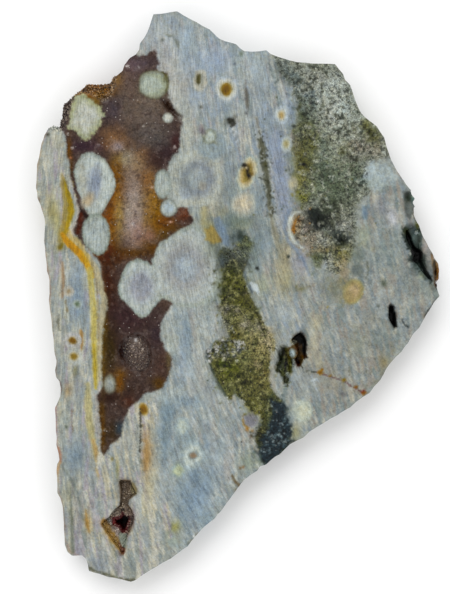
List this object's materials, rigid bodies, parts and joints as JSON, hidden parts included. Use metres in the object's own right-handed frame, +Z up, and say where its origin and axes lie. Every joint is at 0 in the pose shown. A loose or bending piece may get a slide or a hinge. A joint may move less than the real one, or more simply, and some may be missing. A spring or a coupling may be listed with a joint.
{
  "type": "ocean jasper slab",
  "caption": "Thin sawn slice of ocean jasper with orb and moss patterns, an irregular broken rim and crystal-lined hollows; lies flat as a display or lapidary slab.",
  "frame": {"origin": "middle of the slab's bounding box, on the surface that its lower saw cut rests on", "axes": "+Z up out of the patterned upper saw cut, +Y along the slab's length towards its pointed peak, +X across it towards the green chipped edge"},
  "size_m": [0.0809, 0.1142, 0.006],
  "materials": {
    "jasper": "sawn, satin",
    "brown_quartz": "glassy crystals"
  },
  "bodies": {
    "root": {"slab": "jasper", "keyhole_crystals": "brown_quartz", "pocket_crystals": "brown_quartz"}
  },
  "joints": []
}
